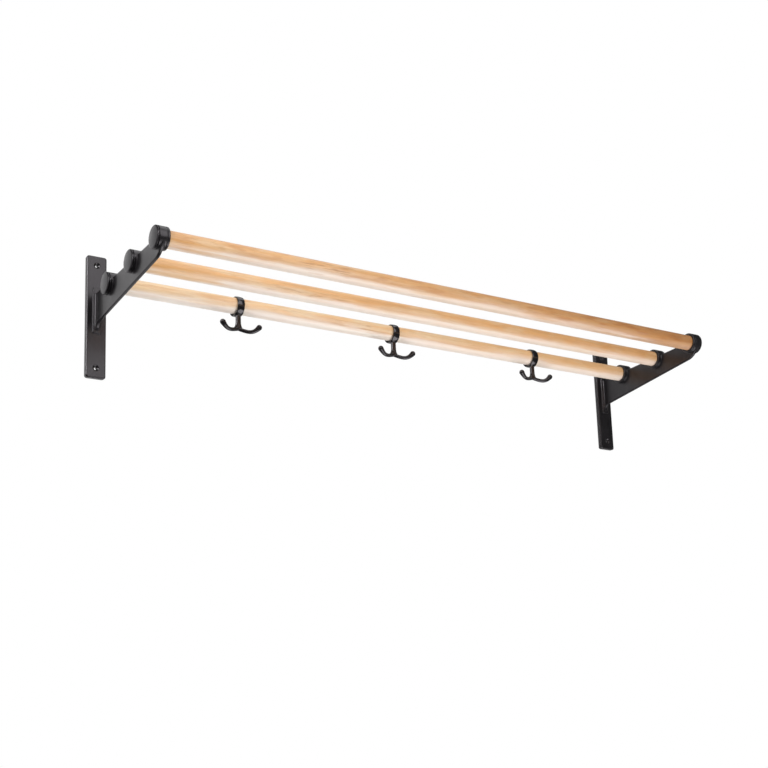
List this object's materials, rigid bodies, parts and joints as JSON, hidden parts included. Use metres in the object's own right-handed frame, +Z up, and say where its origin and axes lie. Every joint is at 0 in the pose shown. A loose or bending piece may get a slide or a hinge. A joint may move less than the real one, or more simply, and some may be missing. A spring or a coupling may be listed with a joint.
{
  "type": "hat shelf",
  "caption": "Wall-mounted hat shelf: round wooden rods held between black cast brackets, with black double hooks that slide along the rear rod.",
  "frame": {"origin": "on the wall plane, midway between the brackets, at the middle height of their wall strips", "axes": "+X along the rods to the right as seen from the room, +Y into the wall, +Z up"},
  "size_m": [1.0098, 0.2505, 0.188],
  "materials": {
    "black_lacquer": "satin black lacquer on a casting",
    "birch": "clear matt lacquer over straight pale grain",
    "zinc_plate": "zinc plated"
  },
  "bodies": {
    "shelf": {"left_bracket": "black_lacquer", "right_bracket": "black_lacquer", "rear_rod": "birch", "middle_rod": "birch", "front_rod": "birch", "left_rear_cap": "black_lacquer", "left_middle_cap": "black_lacquer", "left_front_cap": "black_lacquer", "right_rear_cap": "black_lacquer", "right_middle_cap": "black_lacquer", "right_front_cap": "black_lacquer", "left_rear_rod_screw": "zinc_plate", "left_middle_rod_screw": "zinc_plate", "left_front_rod_screw": "zinc_plate", "right_rear_rod_screw": "zinc_plate", "right_middle_rod_screw": "zinc_plate", "right_front_rod_screw": "zinc_plate"},
    "left_double_hook": {"left_hook": "black_lacquer"},
    "middle_double_hook": {"middle_hook": "black_lacquer"},
    "right_double_hook": {"right_hook": "black_lacquer"}
  },
  "joints": [
    {"name": "left_hook_slide", "type": "slide", "parent": "shelf", "child": "left_double_hook", "axis": [1, 0, 0], "range_m": [-0.163, 0.103]},
    {"name": "middle_hook_slide", "type": "slide", "parent": "shelf", "child": "middle_double_hook", "axis": [1, 0, 0], "range_m": [-0.103, 0.106]},
    {"name": "right_hook_slide", "type": "slide", "parent": "shelf", "child": "right_double_hook", "axis": [1, 0, 0], "range_m": [-0.106, 0.171]}
  ]
}
